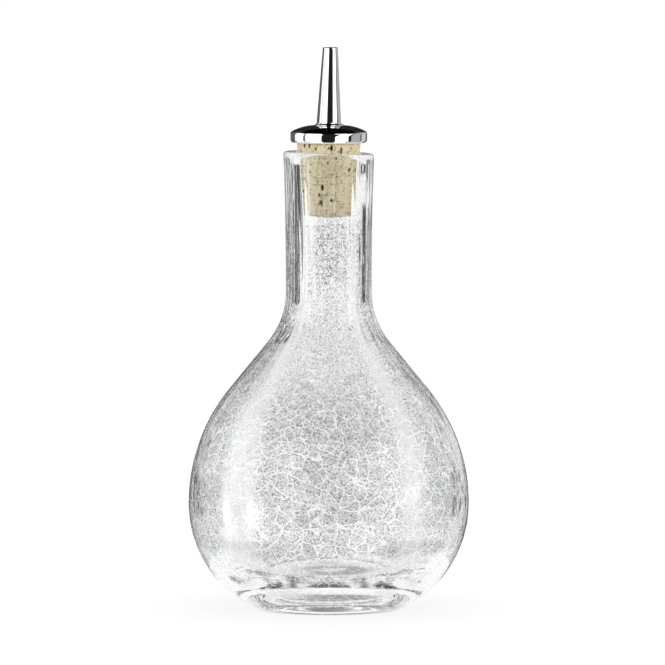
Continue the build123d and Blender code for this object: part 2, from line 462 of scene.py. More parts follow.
def material(name, colour, roughness, metallic=0.0):
    """A Principled material of this colour and roughness, its shader's inputs and its tree."""
    made = bpy.data.materials.new(name)
    made.use_nodes = True
    sockets = made.node_tree.nodes["Principled BSDF"].inputs
    sockets["Base Color"].default_value = (*colour, 1)
    sockets["Roughness"].default_value = roughness
    sockets["Metallic"].default_value = metallic
    return made, sockets, made.node_tree


CROOK_SCALE = 1.6
CROOK = (0.47, 0.47, 0.47)
FLANK_WIDTH = 2.4


def craze_group():
    """Irregular cells, Cells of them to the unit of Place. Lines is 1 on a border and 0 Width away from it,
    Flank is 1 just beside the line, and Cell is a number that differs from cell to cell."""
    group = bpy.data.node_groups.new("craze_cells", "ShaderNodeTree")
    for label, kind in (("Place", "Vector"), ("Cells", "Float"), ("Width", "Float")):
        group.interface.new_socket(label, in_out="INPUT", socket_type="NodeSocket" + kind)
    for label in ("Lines", "Flank", "Cell"):
        group.interface.new_socket(label, in_out="OUTPUT", socket_type="NodeSocketFloat")
    given = add(group, "NodeGroupInput", {}).outputs
    sized = {0: given["Place"], 3: given["Cells"]}
    sized = add(group, "VectorMath", sized, operation="SCALE").outputs[0]
    bent = {0: noise(group, sized, CROOK_SCALE, detail=3, output="Color"), 1: CROOK, 2: sized}
    bent = add(group, "VectorMath", bent, operation="MULTIPLY_ADD").outputs[0]
    cells = {"Vector": bent, "Scale": 1.0}
    border = add(group, "TexVoronoi", cells, feature="DISTANCE_TO_EDGE").outputs["Distance"]
    colour = add(group, "TexVoronoi", cells, feature="F1").outputs["Color"]
    cell = add(group, "SeparateColor", {"Color": colour}).outputs["Red"]
    lines = spread(group, border, 0.0, given["Width"], 1.0, 0.0)
    flank_end = reckon(group, "MULTIPLY", given["Width"], FLANK_WIDTH)
    flank = reckon(group, "SUBTRACT", spread(group, border, given["Width"], flank_end, 1.0, 0.0), lines)
    add(group, "NodeGroupOutput", {"Lines": lines, "Flank": flank, "Cell": cell})
    return group


craze_cells = craze_group()


def craze(tree, place, cells, width):
    """The craze group in a material's tree: its Lines, Flank and Cell."""
    return add(tree, "Group", {"Place": place, "Cells": cells, "Width": width}, node_tree=craze_cells).outputs


# Large cells follow the web's coordinates, and small ones fill them. Painted shade greys the small cells and the
# flanks of the large lines; the lines themselves stay clear and get a painted glint, and a few small cells a
# painted glow.
GLASS_IOR = 1.5
CLEAR_TINT = (0.985, 0.99, 0.988, 1)
PAINTED_SHADE_TINT = (0.02, 0.02, 0.022, 1)
LARGE_CELLS = 9.5
LARGE_WIDTH = 0.06
SMALL_CELLS = 3.3
SMALL_WIDTH = 0.14
SMALL_LINE_CLEAR = 0.8
LARGE_GREY = 0.12
SPECK = 1.3
SPECK_POWER = 2
FLANK = 0.3
PAINTED_GLINT = 0.1
PAINTED_FLECK_GLOW = 0.12
FLECK_POWER = 3
RELIEF = 0.002 * MM
SMALL_LINE_RELIEF = -0.5
SMALL_CELL_RELIEF = 0.35
STREAK_RELIEF = 3
STREAK_GRAIN = (2.2, 2.2, 0.14)
LAID_RELIEF = 10
LAID_GRAIN = (0.2, 0.2, 1.3)
LAID_FALL = (12, 20)

glass, sockets, tree = material("clear_glass", (1, 1, 1), 0.0)
sockets["IOR"].default_value = GLASS_IOR
sockets["Transmission Weight"].default_value = 1.0
amount = parts_of(tree, attribute(tree, "craze_and_shade_amount"))
strength, width, lined = amount["X"], amount["Y"], amount["Z"]
outside_only = reckon(tree, "GREATER_THAN", width, 0.5)
grain = attribute(tree, "grain_place")
large = craze(tree, attribute(tree, "craze_place"), LARGE_CELLS, product(tree, width, LARGE_WIDTH))
small = craze(tree, grain, SMALL_CELLS, SMALL_WIDTH)
glint_lines = product(tree, large["Lines"], product(tree, lined, outside_only))

# Base Color: painted shade, grey in the small cells, from cell to cell and beside the large lines.
speck = reckon(tree, "POWER", small["Cell"], SPECK_POWER)
painted_frost_shade = reckon(tree, "MULTIPLY_ADD", speck, SPECK, product(tree, large["Cell"], LARGE_GREY))
painted_frost_shade = reckon(tree, "MULTIPLY_ADD", product(tree, large["Flank"], speck), FLANK, painted_frost_shade)
painted_frost_shade = product(tree, painted_frost_shade, less(tree, small["Lines"], SMALL_LINE_CLEAR), less(tree, glint_lines), strength)
tree.links.new(blend_colour(tree, painted_frost_shade, CLEAR_TINT, PAINTED_SHADE_TINT), sockets["Base Color"])

# Emission: a painted glint on the large lines and a painted glow in some small cells, stronger where the lines
# show less.
fleck = reckon(tree, "POWER", less(tree, small["Cell"]), FLECK_POWER)
fleck = product(tree, fleck, reckon(tree, "MULTIPLY_ADD", lined, -PAINTED_FLECK_GLOW, PAINTED_FLECK_GLOW), strength)
tree.links.new(reckon(tree, "MULTIPLY_ADD", glint_lines, PAINTED_GLINT, fleck), sockets["Emission Color"])
sockets["Emission Strength"].default_value = 1.0

relief = product(tree, small["Cell"], SMALL_CELL_RELIEF)
relief = reckon(tree, "MULTIPLY_ADD", small["Lines"], SMALL_LINE_RELIEF, relief)
relief = product(tree, reckon(tree, "SUBTRACT", relief, large["Lines"]), strength)
streaked = noise(tree, drawn_along(tree, grain, STREAK_GRAIN), scale=1.0, detail=2)
streaked = product(tree, streaked, reckon(tree, "MULTIPLY_ADD", lined, -STREAK_RELIEF, STREAK_RELIEF))
relief = reckon(tree, "MULTIPLY_ADD", streaked, outside_only, relief)
laid = noise(tree, drawn_along(tree, grain, LAID_GRAIN), scale=1.0, detail=2)
laid = product(tree, laid, spread(tree, parts_of(tree, grain)["Z"], *LAID_FALL, LAID_RELIEF, 0))
relief = reckon(tree, "MULTIPLY_ADD", laid, outside_only, relief)
set_relief(tree, sockets, relief, strength=1.0, distance=RELIEF)
bottle.data.materials.append(glass)
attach(bottle, "bottle")
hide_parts("glass_bottle")

# The fissures
# Each line of the crazing is a thin crack that runs down into the wall from just under the skin, which the fire
# has closed over it. Its broken faces scatter the light and also glow with painted light, so that the lines look
# pale.
FISSURE_TOP = 0.12 * MM
FISSURE_WIDTH = 0.16 * MM
FISSURE_DEEP = (0.1 * MM, 0.25 * MM)
FISSURE_UNEVEN = (0.6, 1.2)
FISSURE_THIN = 0.45
FISSURE_LEAN = 0.2
FISSURE_BOW = 0.16
FISSURE_SPOTS = (0.02, 0.5, 0.98)
FISSURE_LOW = 0.05
FISSURE_HIGH = 70.83 * MM
CRACK_WHITE = (0.95, 0.96, 0.97)
CRACK_ALPHA = (0.1, 0.8)
CRACK_PAINTED_GLOW = 0.35

draw = np.random.default_rng(21)
start = web_nodes[web_pairs[:, 0]]
run = web_nodes[web_pairs[:, 1]] - start
run[:, 0] = half_turns(run[:, 0])
fissure_end = np.interp(FISSURE_HIGH, outside[on_side, 1], climb[on_side])
on_belly = (start[:, 1] > FISSURE_LOW) & (start[:, 1] < fissure_end)
start, run = start[on_belly][:, None], run[on_belly][:, None]
count = len(start)
bow = np.array([0, 1, 0])[:, None] * draw.uniform(-FISSURE_BOW, FISSURE_BOW, (count, 1, 1))
across_run = np.stack([-run[..., 1], run[..., 0]], 2)
spots = start + run * np.array(FISSURE_SPOTS)[:, None] + bow * across_run
spot_angle, spot_rise = spots[..., 0], spots[..., 1]
spot_radius, spot_height = (np.interp(spot_rise, climb, outside[:, k]) for k in range(2))
face_out, face_up = (np.interp(spot_rise, climb, outward[:, k]) for k in range(2))
away = np.stack([face_out * np.cos(spot_angle), face_out * np.sin(spot_angle), face_up], 2)
skin = np.stack([spot_radius * np.cos(spot_angle), spot_radius * np.sin(spot_angle), spot_height], 2)
skin += away * skin_sway(spot_angle, spot_height)[..., None]
beside = np.cross(away, skin[:, 2:] - skin[:, :1])
beside /= np.linalg.norm(beside, axis=2, keepdims=True)
deep = draw.uniform(*FISSURE_DEEP, (count, 1, 1)) * draw.uniform(*FISSURE_UNEVEN, (count, 3, 1))
deep *= np.clip(spot_radius / BELLY_RADIUS, FISSURE_THIN, 1)[..., None]
lean = draw.uniform(-FISSURE_LEAN, FISSURE_LEAN, (count, 1, 1))
upper = skin - away * FISSURE_TOP
left = upper - beside * FISSURE_WIDTH / 2
right = upper + beside * FISSURE_WIDTH / 2
tip = upper - away * deep + beside * deep * lean
points = np.stack([left, right, tip], 2).reshape(-1, 3)
sides = np.array([[0, 3, 4, 1], [1, 4, 5, 2], [2, 5, 3, 0], [3, 6, 7, 4], [4, 7, 8, 5], [5, 8, 6, 3]])
ends = np.array([[0, 1, 2], [6, 8, 7]])
first = np.arange(count)[:, None, None] * 9
faces = (first + sides).reshape(-1, 4).tolist() + (first + ends).reshape(-1, 3).tolist()
fissures = put_mesh("crazing", points, faces)
fissures.data.shade_flat()

crack, sockets, tree = material("crack_faces", CRACK_WHITE, 0.4)
healed = noise(tree, object_place(tree), scale=900, detail=3)
tree.links.new(spread(tree, healed, 0.4, 0.6, *CRACK_ALPHA), sockets["Alpha"])
# The crack faces glow with painted light.
sockets["Emission Color"].default_value = (1, 1, 1, 1)
sockets["Emission Strength"].default_value = CRACK_PAINTED_GLOW
fissures.data.materials.append(crack)
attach(fissures, "bottle")

# The cork stopper
# A tapered plug of natural cork, sanded smooth and bored for the stem. Its pores show as dark slits, most of
# them upright, and fine brown flecks lie between them. It is pushed into the tapered seat in the mouth.
CORK_TOP_RADIUS = 10.1 * MM
CORK_BOTTOM_RADIUS = 7.05 * MM
CORK_BEVEL = 0.4 * MM
CORK_LOW, CORK_HIGH = (corner[2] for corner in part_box("cork_stopper"))
CORK_STEPS = 240
CORK_PITCH = 0.25 * MM
CORK_SIDE_FROM = 6 * MM
CORK_UNEVEN = 0.05 * MM
CORK_UNEVEN_DRIFT = 9
STEM_HOLE = 3.05 * MM


def straight(first, last, pitch):
    """Points from first towards last, about a pitch apart, with last left out."""
    first, last = np.array(first), np.array(last)
    steps = max(1, int(np.linalg.norm(last - first) / pitch))
    return first + (last - first) * np.linspace(0, 1, steps, endpoint=False)[:, None]


def path(corners, pitch):
    """A closed line through the corners with points about a pitch apart, and each corner kept."""
    return np.concatenate([straight(*ends, pitch) for ends in zip(corners, corners[1:] + corners[:1])])


def turned(name, profile, steps, shift=None):
    """A ring-shaped piece: a closed (radius, height) profile turned round the axis. shift moves the points,
    given as (angle, radius, height) arrays, and returns (x, y, z)."""
    angle = np.repeat(np.linspace(0, 2 * np.pi, steps, endpoint=False)[None], len(profile), 0).ravel()
    radius = np.repeat(profile[:, 0], steps)
    height = np.repeat(profile[:, 1], steps)
    if shift is None:
        points = np.stack([radius * np.cos(angle), radius * np.sin(angle), height], 1)
    else:
        points = shift(angle, radius, height)
    return put_mesh(name, points, grid_faces(len(profile), steps, True).tolist())


taper = (CORK_TOP_RADIUS - CORK_BOTTOM_RADIUS) / (CORK_HIGH - CORK_LOW)
cork_line = path([
    (STEM_HOLE, CORK_LOW),
    (CORK_BOTTOM_RADIUS - CORK_BEVEL, CORK_LOW),
    (CORK_BOTTOM_RADIUS + taper * CORK_BEVEL, CORK_LOW + CORK_BEVEL),
    (CORK_TOP_RADIUS - taper * CORK_BEVEL, CORK_HIGH - CORK_BEVEL),
    (CORK_TOP_RADIUS - CORK_BEVEL, CORK_HIGH),
    (STEM_HOLE, CORK_HIGH),
], CORK_PITCH)

# The pores that the front shows are given as (degrees from the front, height in mm, size), and the others are
# strewn at random.
SHOWN_PORES = [(5, 144.9, 0.9), (-13, 132.6, 0.9), (-50, 145.6, 0.7), (-49, 134.2, 0.6), (-44, 133.0, 0.6),
               (-58, 131.4, 0.5), (14, 141.6, 0.5), (8, 128.6, 0.5), (24, 134.4, 0.5), (-24, 127.0, 0.5)]
SHOWN_PORE_SIZE = 0.36 * MM
CORK_PORES = 70
PORE_SIZES = (0.1, 0.3)
PORE_SIZE_POWER = 1.2
PORE_TALL = 2.6
PORE_DEEP = 1.5
PORE_INSIDE = (5 * MM, 7 * MM)
PORE_DARK_DEPTH = 0.12 * MM

draw = np.random.default_rng(33)
pore_angle = draw.uniform(-math.pi, math.pi, CORK_PORES)
pore_height = draw.uniform(CORK_LOW, CORK_HIGH, CORK_PORES)
pore_size = draw.uniform(*PORE_SIZES, CORK_PORES) ** PORE_SIZE_POWER * MM
shown = np.array(SHOWN_PORES)
pore_angle = np.concatenate([np.radians(shown[:, 0] - 90), pore_angle])
pore_height = np.concatenate([shown[:, 1] * MM, pore_height])
pore_size = np.concatenate([shown[:, 2] * SHOWN_PORE_SIZE, pore_size])


def pore_depth(angle, radius, height):
    """The depth of the pores at each point: for each pore its size times a bell of the distance to it, which is
    drawn out upwards."""
    depth = np.zeros_like(angle)
    for at, level, size in zip(pore_angle, pore_height, pore_size):
        off = half_turns(angle - at)
        gap = np.hypot(off * radius, (height - level) / PORE_TALL) / size
        depth = np.maximum(depth, size * PORE_DEEP * np.exp(-(gap**4)))
    return depth * smooth(*PORE_INSIDE, radius)


def cork_skin(angle, radius, height):
    """The turned cork with its pores sunk in and its sides a little uneven."""
    wave = waves(angle, CORK_UNEVEN_DRIFT * height, count=12, lobes=(3, 40), seed=8)
    uneven = CORK_UNEVEN * (wave - 1) * (radius > CORK_SIDE_FROM)
    radius = radius - pore_depth(angle, radius, height) + uneven
    return np.stack([radius * np.cos(angle), radius * np.sin(angle), height], 1)


cork = turned("cork_plug", cork_line, CORK_STEPS, cork_skin)
spots = np.zeros(len(cork.data.vertices) * 3, np.float32)
cork.data.vertices.foreach_get("co", spots)
spots = spots.reshape(-1, 3)
depth = pore_depth(np.arctan2(spots[:, 1], spots[:, 0]), np.hypot(spots[:, 0], spots[:, 1]), spots[:, 2])
put_attribute(cork, "pores", np.repeat((depth / PORE_DARK_DEPTH)[:, None], 3, 1))

STRAW = (0.96, 0.87, 0.58, 1)
HONEY = (0.9, 0.76, 0.45, 1)
GRIT_BROWN = (0.5, 0.33, 0.15, 1)
THREAD_BROWN = (0.3, 0.17, 0.07, 1)
FLECK_BROWN = (0.2, 0.09, 0.04, 1)
PORE_BROWN = (0.035, 0.018, 0.01, 1)
CORK_GRAIN = (1, 1, 0.35)
THREAD_SHARE = 0.75
THREAD_CROOK = (0.0022, 0.0022, 0.0022)

bark, sockets, tree = material("natural_cork", (0.75, 0.6, 0.36), 0.8)
coords = object_place(tree)
drawn = drawn_along(tree, coords, CORK_GRAIN)
broad = noise(tree, drawn, scale=160, detail=3)
grit = add(tree, "TexNoise", {"Vector": drawn, "Scale": 1500, "Detail": 4, "Roughness": 0.65}).outputs["Fac"]
fleck = add(tree, "TexVoronoi", {"Vector": drawn, "Scale": 520, "Randomness": 1.0}, feature="F1").outputs
picked = add(tree, "SeparateColor", {"Color": fleck["Color"]}).outputs["Red"]
flecks = product(tree, spread(tree, fleck["Distance"], 0.16, 0.3, 1.0, 0.0), spread(tree, picked, 0.72, 0.78))
crook = {0: noise(tree, coords, scale=900, detail=2, output="Color"), 1: THREAD_CROOK, 2: coords}
crook = add(tree, "VectorMath", crook, operation="MULTIPLY_ADD").outputs[0]
thread = add(tree, "TexVoronoi", {"Vector": crook, "Scale": 760}, feature="DISTANCE_TO_EDGE").outputs["Distance"]
thread = spread(tree, thread, 0.03, 0.09, 1.0, 0.0)
broken = noise(tree, coords, scale=700, detail=2)
threads = product(tree, thread, spread(tree, broken, 0.48, 0.56), THREAD_SHARE)
pores = parts_of(tree, attribute(tree, "pores"))[0]
tone = blend_colour(tree, spread(tree, broad, 0.3, 0.7), STRAW, HONEY)
tone = blend_colour(tree, threads, tone, THREAD_BROWN)
tone = blend_colour(tree, spread(tree, grit, 0.5, 0.8, 0.0, 0.5), tone, GRIT_BROWN)
tone = blend_colour(tree, flecks, tone, FLECK_BROWN)
tone = blend_colour(tree, spread(tree, pores, 0.15, 0.9), tone, PORE_BROWN)
tree.links.new(tone, sockets["Base Color"])
tree.links.new(spread(tree, grit, 0.3, 0.7, 0.65, 0.92), sockets["Roughness"])
set_relief(tree, sockets, grit, strength=0.6, distance=0.08 * MM)
cork.data.materials.append(bark)
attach(cork, "cork")
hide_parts("cork_stopper")

# The stem tube
# A short length of drawn stainless tube, pushed through the cork and up into the cap. Its ends are turned
# square with a small bevel, and the drawing left fine lines along it.
STEM_RADIUS = 3.0 * MM
STEM_BORE = 2.4 * MM
STEM_BEVEL = 0.15 * MM
STEM_LOW, STEM_HIGH = (corner[2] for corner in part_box("stem_tube"))
STEM_PITCH = 0.6 * MM
STEM_STEPS = 96
STEEL = (0.6, 0.61, 0.62)
STEEL_GRAIN = (1, 1, 0.03)

stem_line = path([
    (STEM_BORE, STEM_LOW),
    (STEM_RADIUS - STEM_BEVEL, STEM_LOW),
    (STEM_RADIUS, STEM_LOW + STEM_BEVEL),
    (STEM_RADIUS, STEM_HIGH - STEM_BEVEL),
    (STEM_RADIUS - STEM_BEVEL, STEM_HIGH),
    (STEM_BORE, STEM_HIGH),
], STEM_PITCH)
stem = turned("drawn_stem", stem_line, STEM_STEPS)
steel, sockets, tree = material("drawn_steel", STEEL, 0.3, 1.0)
lines = noise(tree, drawn_along(tree, object_place(tree), STEEL_GRAIN), scale=4500, detail=3)
tree.links.new(spread(tree, lines, 0.3, 0.7, 0.18, 0.42), sockets["Roughness"])
set_relief(tree, sockets, lines, strength=0.5, distance=0.01 * MM)
stem.data.materials.append(steel)
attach(stem, "dasher")
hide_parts("stem_tube")

# The dash restrictor
# A small moulded plug, pressed into the lower end of the stem. Its fine hole opens to a funnel at each end and
# lets out one dash at a time.
RESTRICTOR_HEIGHT = 5.0 * MM
METERING_RADIUS = 0.9 * MM
FUNNEL_DEPTH = 1.2 * MM
FUNNEL_RIM = 0.4 * MM
RESTRICTOR_PITCH = 0.2 * MM
RESTRICTOR_STEPS = 72
IVORY = (0.87, 0.87, 0.84)
IVORY_SHADE = (0.8, 0.8, 0.77)

plug_top = STEM_LOW + RESTRICTOR_HEIGHT
plug_line = path([
    (STEM_BORE - FUNNEL_RIM, STEM_LOW),
    (STEM_BORE, STEM_LOW),
    (STEM_BORE, plug_top),
    (STEM_BORE - FUNNEL_RIM, plug_top),
    (METERING_RADIUS, plug_top - FUNNEL_DEPTH),
    (METERING_RADIUS, STEM_LOW + FUNNEL_DEPTH),
], RESTRICTOR_PITCH)
restrictor = turned("metering_plug", plug_line, RESTRICTOR_STEPS)
moulded, sockets, tree = material("moulded_plastic", IVORY, 0.5)
mottle = noise(tree, object_place(tree), scale=2200, detail=3)
tree.links.new(spread(tree, mottle, 0.3, 0.7, 0.4, 0.6), sockets["Roughness"])
tone = blend_colour(tree, spread(tree, mottle, 0.35, 0.7), (*IVORY, 1), (*IVORY_SHADE, 1))
tree.links.new(tone, sockets["Base Color"])
set_relief(tree, sockets, mottle, strength=0.4, distance=0.01 * MM)
restrictor.data.materials.append(moulded)
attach(restrictor, "dasher")
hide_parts("dash_restrictor")

# The cap
# A turned brass flange with an upright rim under a shallow dome, polished and chromed. It sits on the cork and
# holds the stem from below and the spout from above.
CAP_RADIUS = 12.0 * MM
CAP_UNDER_ROUND = 1.0 * MM
CAP_EDGE_ROUND = 0.5 * MM
CAP_DOME = 2.1 * MM
CAP_CORNER = 0.1 * MM
CAP_PITCH = 0.8 * MM
CAP_UNDER_STEPS = 14
CAP_EDGE_STEPS = 10
CAP_DOME_STEPS = 40
CAP_LOW, CAP_HIGH = (corner[2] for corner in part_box("dasher_cap"))
SPOUT_FOOT_RADIUS = 4.4 * MM
METAL_STEPS = 256
CHROME = (0.93, 0.935, 0.94)
CAP_WOBBLE = 0.004 * MM

reach = CAP_RADIUS - SPOUT_FOOT_RADIUS
dome = (reach**2 + CAP_DOME**2) / (2 * CAP_DOME)
dome_centre = CAP_HIGH - dome
edge_r = reach - CAP_EDGE_ROUND
edge_z = math.sqrt((dome - CAP_EDGE_ROUND) ** 2 - edge_r**2)
tilt = math.atan2(edge_z, edge_r)
under_edge = (CAP_RADIUS - CAP_UNDER_ROUND, CAP_LOW)
cap_line = np.concatenate([
    straight((STEM_RADIUS, CAP_LOW), under_edge, CAP_PITCH),
    arc((under_edge[0], CAP_LOW + CAP_UNDER_ROUND), CAP_UNDER_ROUND, -math.pi / 2, 0, CAP_UNDER_STEPS),
    arc((SPOUT_FOOT_RADIUS + edge_r, dome_centre + edge_z), CAP_EDGE_ROUND, 0, tilt, CAP_EDGE_STEPS),
    arc((SPOUT_FOOT_RADIUS, dome_centre), dome, tilt, math.pi / 2, CAP_DOME_STEPS)[1:],
    [(STEM_RADIUS + CAP_CORNER, CAP_HIGH), (STEM_RADIUS, CAP_HIGH), (STEM_RADIUS, CAP_HIGH - CAP_CORNER),
     (STEM_RADIUS, CAP_LOW + CAP_CORNER)],
])
cap = turned("chromed_cap", cap_line, METAL_STEPS)


def chrome_material(name, wobble, seed):
    """Mirror chrome: a faint unevenness of the polish, wobble deep, and small changes in how sharply it
    mirrors."""
    made, sockets, tree = material(name, CHROME, 0.02, 1.0)
    placed = add(tree, "Mapping", {"Vector": object_place(tree), "Location": (seed, 0, 0)}).outputs[0]
    haze = noise(tree, placed, scale=2600, detail=4)
    tree.links.new(spread(tree, haze, 0.35, 0.75, 0.012, 0.05), sockets["Roughness"])
    set_relief(tree, sockets, noise(tree, placed, scale=420, detail=2), strength=1.0, distance=wobble)
    return made


cap.data.materials.append(chrome_material("cap_chrome", CAP_WOBBLE, seed=0.1))
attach(cap, "dasher")
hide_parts("dasher_cap")

# The pouring spout
# A slim tapered tube, turned with a thin flared foot and a spigot that is pressed into the cap, and chromed.
# It leans a trifle to the right in its seat.
SPOUT_BASE_RADIUS = 3.8 * MM
SPOUT_TIP_RADIUS = 2.36 * MM
SPOUT_TIP_WALL = 0.55 * MM
SPOUT_TIP_ROUND = 0.2 * MM
SPOUT_TIP_STEPS = 7
SPOUT_CONE_STEPS = 60
SPOUT_FLARE_STEPS = 12
SPIGOT_END_PITCH = 0.1 * MM
SPIGOT_PITCH = 0.5 * MM
SPOUT_FOOT_PITCH = 0.3 * MM
SPOUT_FOOT_THICKNESS = 0.3 * MM
SPOUT_CORNER = 0.05 * MM
SPOUT_LEAN = 0.02
SPOUT_WOBBLE = 0.006 * MM
SPOUT_LOW, SPOUT_HIGH = (corner[2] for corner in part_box("pouring_spout"))

flare = SPOUT_FOOT_RADIUS - SPOUT_BASE_RADIUS
foot_top = CAP_HIGH + SPOUT_FOOT_THICKNESS
flare_top = foot_top + flare
rise = np.linspace(0, 1, SPOUT_CONE_STEPS)[1:, None]
cone_top = (SPOUT_TIP_RADIUS, SPOUT_HIGH - SPOUT_TIP_ROUND)
bore_tip = (SPOUT_TIP_RADIUS - SPOUT_TIP_WALL, SPOUT_HIGH - SPOUT_TIP_ROUND)
tip_out = (cone_top[0] - SPOUT_TIP_ROUND, cone_top[1])
tip_in = (bore_tip[0] + SPOUT_TIP_ROUND, bore_tip[1])
spout_line = np.concatenate([
    straight((STEM_BORE, SPOUT_LOW), (STEM_RADIUS, SPOUT_LOW), SPIGOT_END_PITCH),
    straight((STEM_RADIUS, SPOUT_LOW), (STEM_RADIUS, CAP_HIGH), SPIGOT_PITCH),
    straight((STEM_RADIUS, CAP_HIGH), (SPOUT_FOOT_RADIUS, CAP_HIGH), SPOUT_FOOT_PITCH),
    [(SPOUT_FOOT_RADIUS, CAP_HIGH), (SPOUT_FOOT_RADIUS, foot_top)],
    arc((SPOUT_FOOT_RADIUS, flare_top), flare, -math.pi / 2, -math.pi, SPOUT_FLARE_STEPS)[1:],
    np.array([(SPOUT_BASE_RADIUS, flare_top)]) * (1 - rise) + np.array([cone_top]) * rise,
    arc(tip_out, SPOUT_TIP_ROUND, 0, math.pi / 2, SPOUT_TIP_STEPS)[1:],
    arc(tip_in, SPOUT_TIP_ROUND, math.pi / 2, math.pi, SPOUT_TIP_STEPS),
    np.array([bore_tip]) * (1 - rise) + np.array([(STEM_BORE, SPOUT_LOW + SPOUT_CORNER)]) * rise,
])


def leaning(angle, radius, height):
    """The turned spout, moved sideways in step with its height over the cap."""
    lean = SPOUT_LEAN * np.maximum(height - CAP_HIGH, 0)
    return np.stack([radius * np.cos(angle) + lean, radius * np.sin(angle), height], 1)


spout = turned("chromed_spout", spout_line, METAL_STEPS, leaning)
spout.data.materials.append(chrome_material("spout_chrome", SPOUT_WOBBLE, seed=0.3))
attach(spout, "dasher")
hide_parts("pouring_spout")

# The studio
# A white tent with lights and black gaps between them, a camera in front, and a white table top. Chrome and the
# glass's skin mirror these. What shines through the glass has gaps of its own, seen only along its wall.
PIXELS = 665
FOCAL_PIXELS = 7271.7
SENSOR_WIDTH = 36.0
EYE = Vector((1.16 * MM, -2275.8 * MM, 254.35 * MM))
AIM = Vector((1.16 * MM, 0, 86.54 * MM))

camera_data = bpy.data.cameras.new("camera")
camera = bpy.data.objects.new("camera", camera_data)
bpy.context.scene.collection.objects.link(camera)
bpy.context.scene.camera = camera
camera_data.sensor_width = SENSOR_WIDTH
camera_data.lens = SENSOR_WIDTH * FOCAL_PIXELS / PIXELS
camera_data.clip_start = 0.1
camera_data.clip_end = 20
camera.location = EYE
camera.rotation_euler = (AIM - EYE).to_track_quat("-Z", "Y").to_euler()

world = bpy.data.worlds.new("light_tent")
bpy.context.scene.world = world
world.use_nodes = True
sky = world.node_tree


def stripes(middles, half, edge, value):
    """Stops for stripes of this value, half wide to each side of their middles, on a ground of 0."""
    stops = [(-180, 0)]
    for middle in middles:
        stops += [(middle - half - edge, 0), (middle - half, value), (middle + half, value),
                  (middle + half + edge, 0)]
    return stops + [(180, 0)]


def strips(azimuth, stops, top=1.0):
    """A value by azimuth in degrees, as straight lines between the stops, of which top is the highest."""
    curve = add(sky, "FloatCurve", {"Value": reckon(sky, "MULTIPLY_ADD", azimuth, 1 / 360, 0.5)})
    shape = curve.mapping.curves[0]
    points = [((at + 180) / 360, value / top) for at, value in stops]
    shape.points[0].location = points[0]
    shape.points[1].location = points[-1]
    for point in points[1:-1]:
        shape.points.new(*point)
    for point in shape.points:
        point.handle_type = "VECTOR"
    curve.mapping.update()
    return product(sky, curve.outputs["Value"], top)


def between(value, low, full, last, end):
    """1 from full to last and 0 below low and above end, with a smooth step on each side."""
    return product(sky, spread(sky, value, low, full), spread(sky, value, last, end, 1, 0))


def choose(flag, when, otherwise):
    """when where the ray has this flag, and otherwise elsewhere."""
    ray = add(sky, "LightPath", {}).outputs[flag]
    return add(sky, "Mix", {"Factor": ray, "A": otherwise, "B": when}).outputs["Result"]


# Azimuth is 0 towards the camera and grows to the right. The lights are listed as (azimuth, brightness). Of four
# angles, something sets in at the first, is full from the second to the third, and ends at the fourth.
HOT, WHITE, PALE, CARD, SILVER = 5.0, 2.0, 1.1, 0.6, 0.42
DIM, DUSK, SHADOW, NIGHT, BLACK = 0.16, 0.12, 0.1, 0.02, 0.015
LIGHTS = [
    (-180, NIGHT), (-165, NIGHT), (-155, DIM), (-146, DIM), (-144, SHADOW), (-124, DUSK), (-122, PALE),
    (-85, PALE), (-83, DIM), (-77, DIM), (-75, PALE), (-60, WHITE), (-24, WHITE), (-22, BLACK), (19, BLACK),
    (21, WHITE), (60, WHITE), (62, BLACK), (71, BLACK), (73, SILVER), (110, SILVER), (112, BLACK),
    (116, BLACK), (118, CARD), (146, CARD), (148, DIM), (155, DIM), (165, NIGHT), (180, NIGHT),
]
LOW_LIGHTS = (-2, 1, 6, 10)
TENT_SKEW = 20
SKEW_RISE = (-30, 10)
SKEW_BACK = (-90, -70)
SEAM = (-54, -51, -47, -44)
SEAM_DARK = 0.9
TENT_TOP = (32, 40)
TENT_TOP_LIGHT = 0.002
WINDOWS = [(-180, 0), (-101, 0), (-97, HOT), (-92, HOT), (-88, 0),
           (-71, 0), (-68, HOT), (-57, HOT), (-53, 0), (180, 0)]
WINDOW_HALF = (5, 14)
WINDOW_DROP = (10, 8)
WINDOW_DROP_TURN = (-86, -76)

direction = parts_of(sky, add(sky, "TexCoord", {}).outputs["Generated"])
to_camera = reckon(sky, "MULTIPLY", direction[1], -1)
azimuth = reckon(sky, "DEGREES", reckon(sky, "ARCTAN2", direction[0], to_camera))
from_back = reckon(sky, "ABSOLUTE", azimuth)
elevation = reckon(sky, "DEGREES", reckon(sky, "ARCSINE", direction[2]))
low_lights = between(elevation, *LOW_LIGHTS)
skew_on = spread(sky, azimuth, *SKEW_RISE, 0, TENT_SKEW)
skew = product(sky, low_lights, reckon(sky, "ADD", skew_on, spread(sky, azimuth, *SKEW_BACK, TENT_SKEW, 0)))
lights = strips(reckon(sky, "SUBTRACT", azimuth, skew), LIGHTS, HOT)
off_middle = reckon(sky, "ADD", elevation, spread(sky, azimuth, *WINDOW_DROP_TURN, *WINDOW_DROP))
window_shape = spread(sky, reckon(sky, "ABSOLUTE", off_middle), *WINDOW_HALF, 1, 0)
lights = reckon(sky, "ADD", lights, product(sky, strips(azimuth, WINDOWS, HOT), window_shape))
seam = product(sky, between(azimuth, *SEAM), low_lights)
tent_top = spread(sky, elevation, *TENT_TOP, 1, TENT_TOP_LIGHT)
lights = product(sky, lights, less(sky, seam, SEAM_DARK), tent_top)

